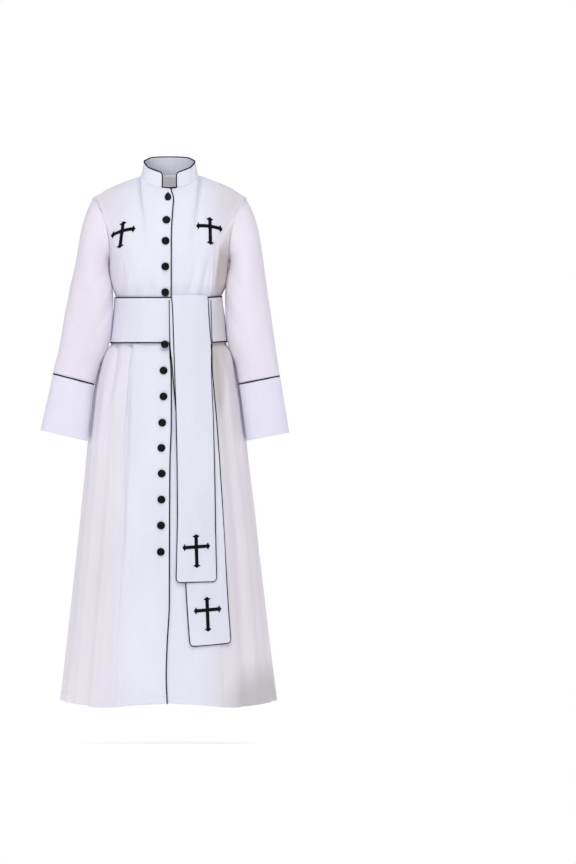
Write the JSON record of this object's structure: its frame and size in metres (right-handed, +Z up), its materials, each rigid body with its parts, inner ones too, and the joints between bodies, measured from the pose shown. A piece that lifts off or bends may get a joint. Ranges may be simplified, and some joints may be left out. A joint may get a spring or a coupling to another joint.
{
  "type": "clergy robe",
  "caption": "Long white clergy robe, worn form: stand collar with square notch, button front, cuffed sleeves, wide belt with hanging falls, black piping and crosses.",
  "frame": {"origin": "middle of the neck base, between the shoulder seams, where the shoulders carry the robe", "axes": "+Z up along the robe's length, -Y to the front, +X to the wearer's left"},
  "size_m": [0.6454, 0.4506, 1.4328],
  "materials": {
    "cloth_white": "smooth close twill with a soft sheen, cool white",
    "cloth_band": "smooth satin-faced cloth, bluish white",
    "piping_black": "bias-cut corded piping, matt black",
    "button_black": "satin black, raised rim and sunk middle",
    "embroidery_black": "satin-stitch embroidery, black thread"
  },
  "bodies": {
    "root": {"belt": "cloth_band", "bodice_back_left_centre": "cloth_white", "bodice_back_left_side": "cloth_white", "bodice_back_right_centre": "cloth_white", "bodice_back_right_side": "cloth_white", "bodice_front_left_centre": "cloth_white", "bodice_front_left_side": "cloth_white", "bodice_front_right_centre": "cloth_white", "bodice_front_right_side": "cloth_white", "button_cuff_left_1": "button_black", "button_cuff_left_2": "button_black", "button_cuff_left_3": "button_black", "button_cuff_right_1": "button_black", "button_cuff_right_2": "button_black", "button_cuff_right_3": "button_black", "button_front_01": "button_black", "button_front_02": "button_black", "button_front_03": "button_black", "button_front_04": "button_black", "button_front_05": "button_black", "button_front_06": "button_black", "button_front_07": "button_black", "button_front_08": "button_black", "button_front_09": "button_black", "button_front_10": "button_black", "button_front_11": "button_black", "button_front_12": "button_black", "button_front_13": "button_black", "button_front_14": "button_black", "collar": "cloth_white", "cross_chest_left": "embroidery_black", "cross_chest_right": "embroidery_black", "cross_fall_front": "embroidery_black", "cross_fall_under": "embroidery_black", "cuff_left": "cloth_white", "cuff_right": "cloth_white", "fall_front": "cloth_band", "fall_under": "cloth_band", "piping_belt_bottom": "piping_black", "piping_belt_top": "piping_black", "piping_collar": "piping_black", "piping_cuff_left": "piping_black", "piping_cuff_right": "piping_black", "piping_fall_front": "piping_black", "piping_fall_under": "piping_black", "piping_front": "piping_black", "skirt_back_left_centre": "cloth_white", "skirt_back_left_side_lower": "cloth_white", "skirt_back_left_side_upper": "cloth_white", "skirt_back_right_centre": "cloth_white", "skirt_back_right_side_lower": "cloth_white", "skirt_back_right_side_upper": "cloth_white", "skirt_front_left_centre": "cloth_white", "skirt_front_left_side_lower": "cloth_white", "skirt_front_left_side_upper": "cloth_white", "skirt_front_right_centre": "cloth_white", "skirt_front_right_side_lower": "cloth_white", "skirt_front_right_side_upper": "cloth_white", "sleeve_left": "cloth_white", "sleeve_right": "cloth_white"}
  },
  "joints": []
}
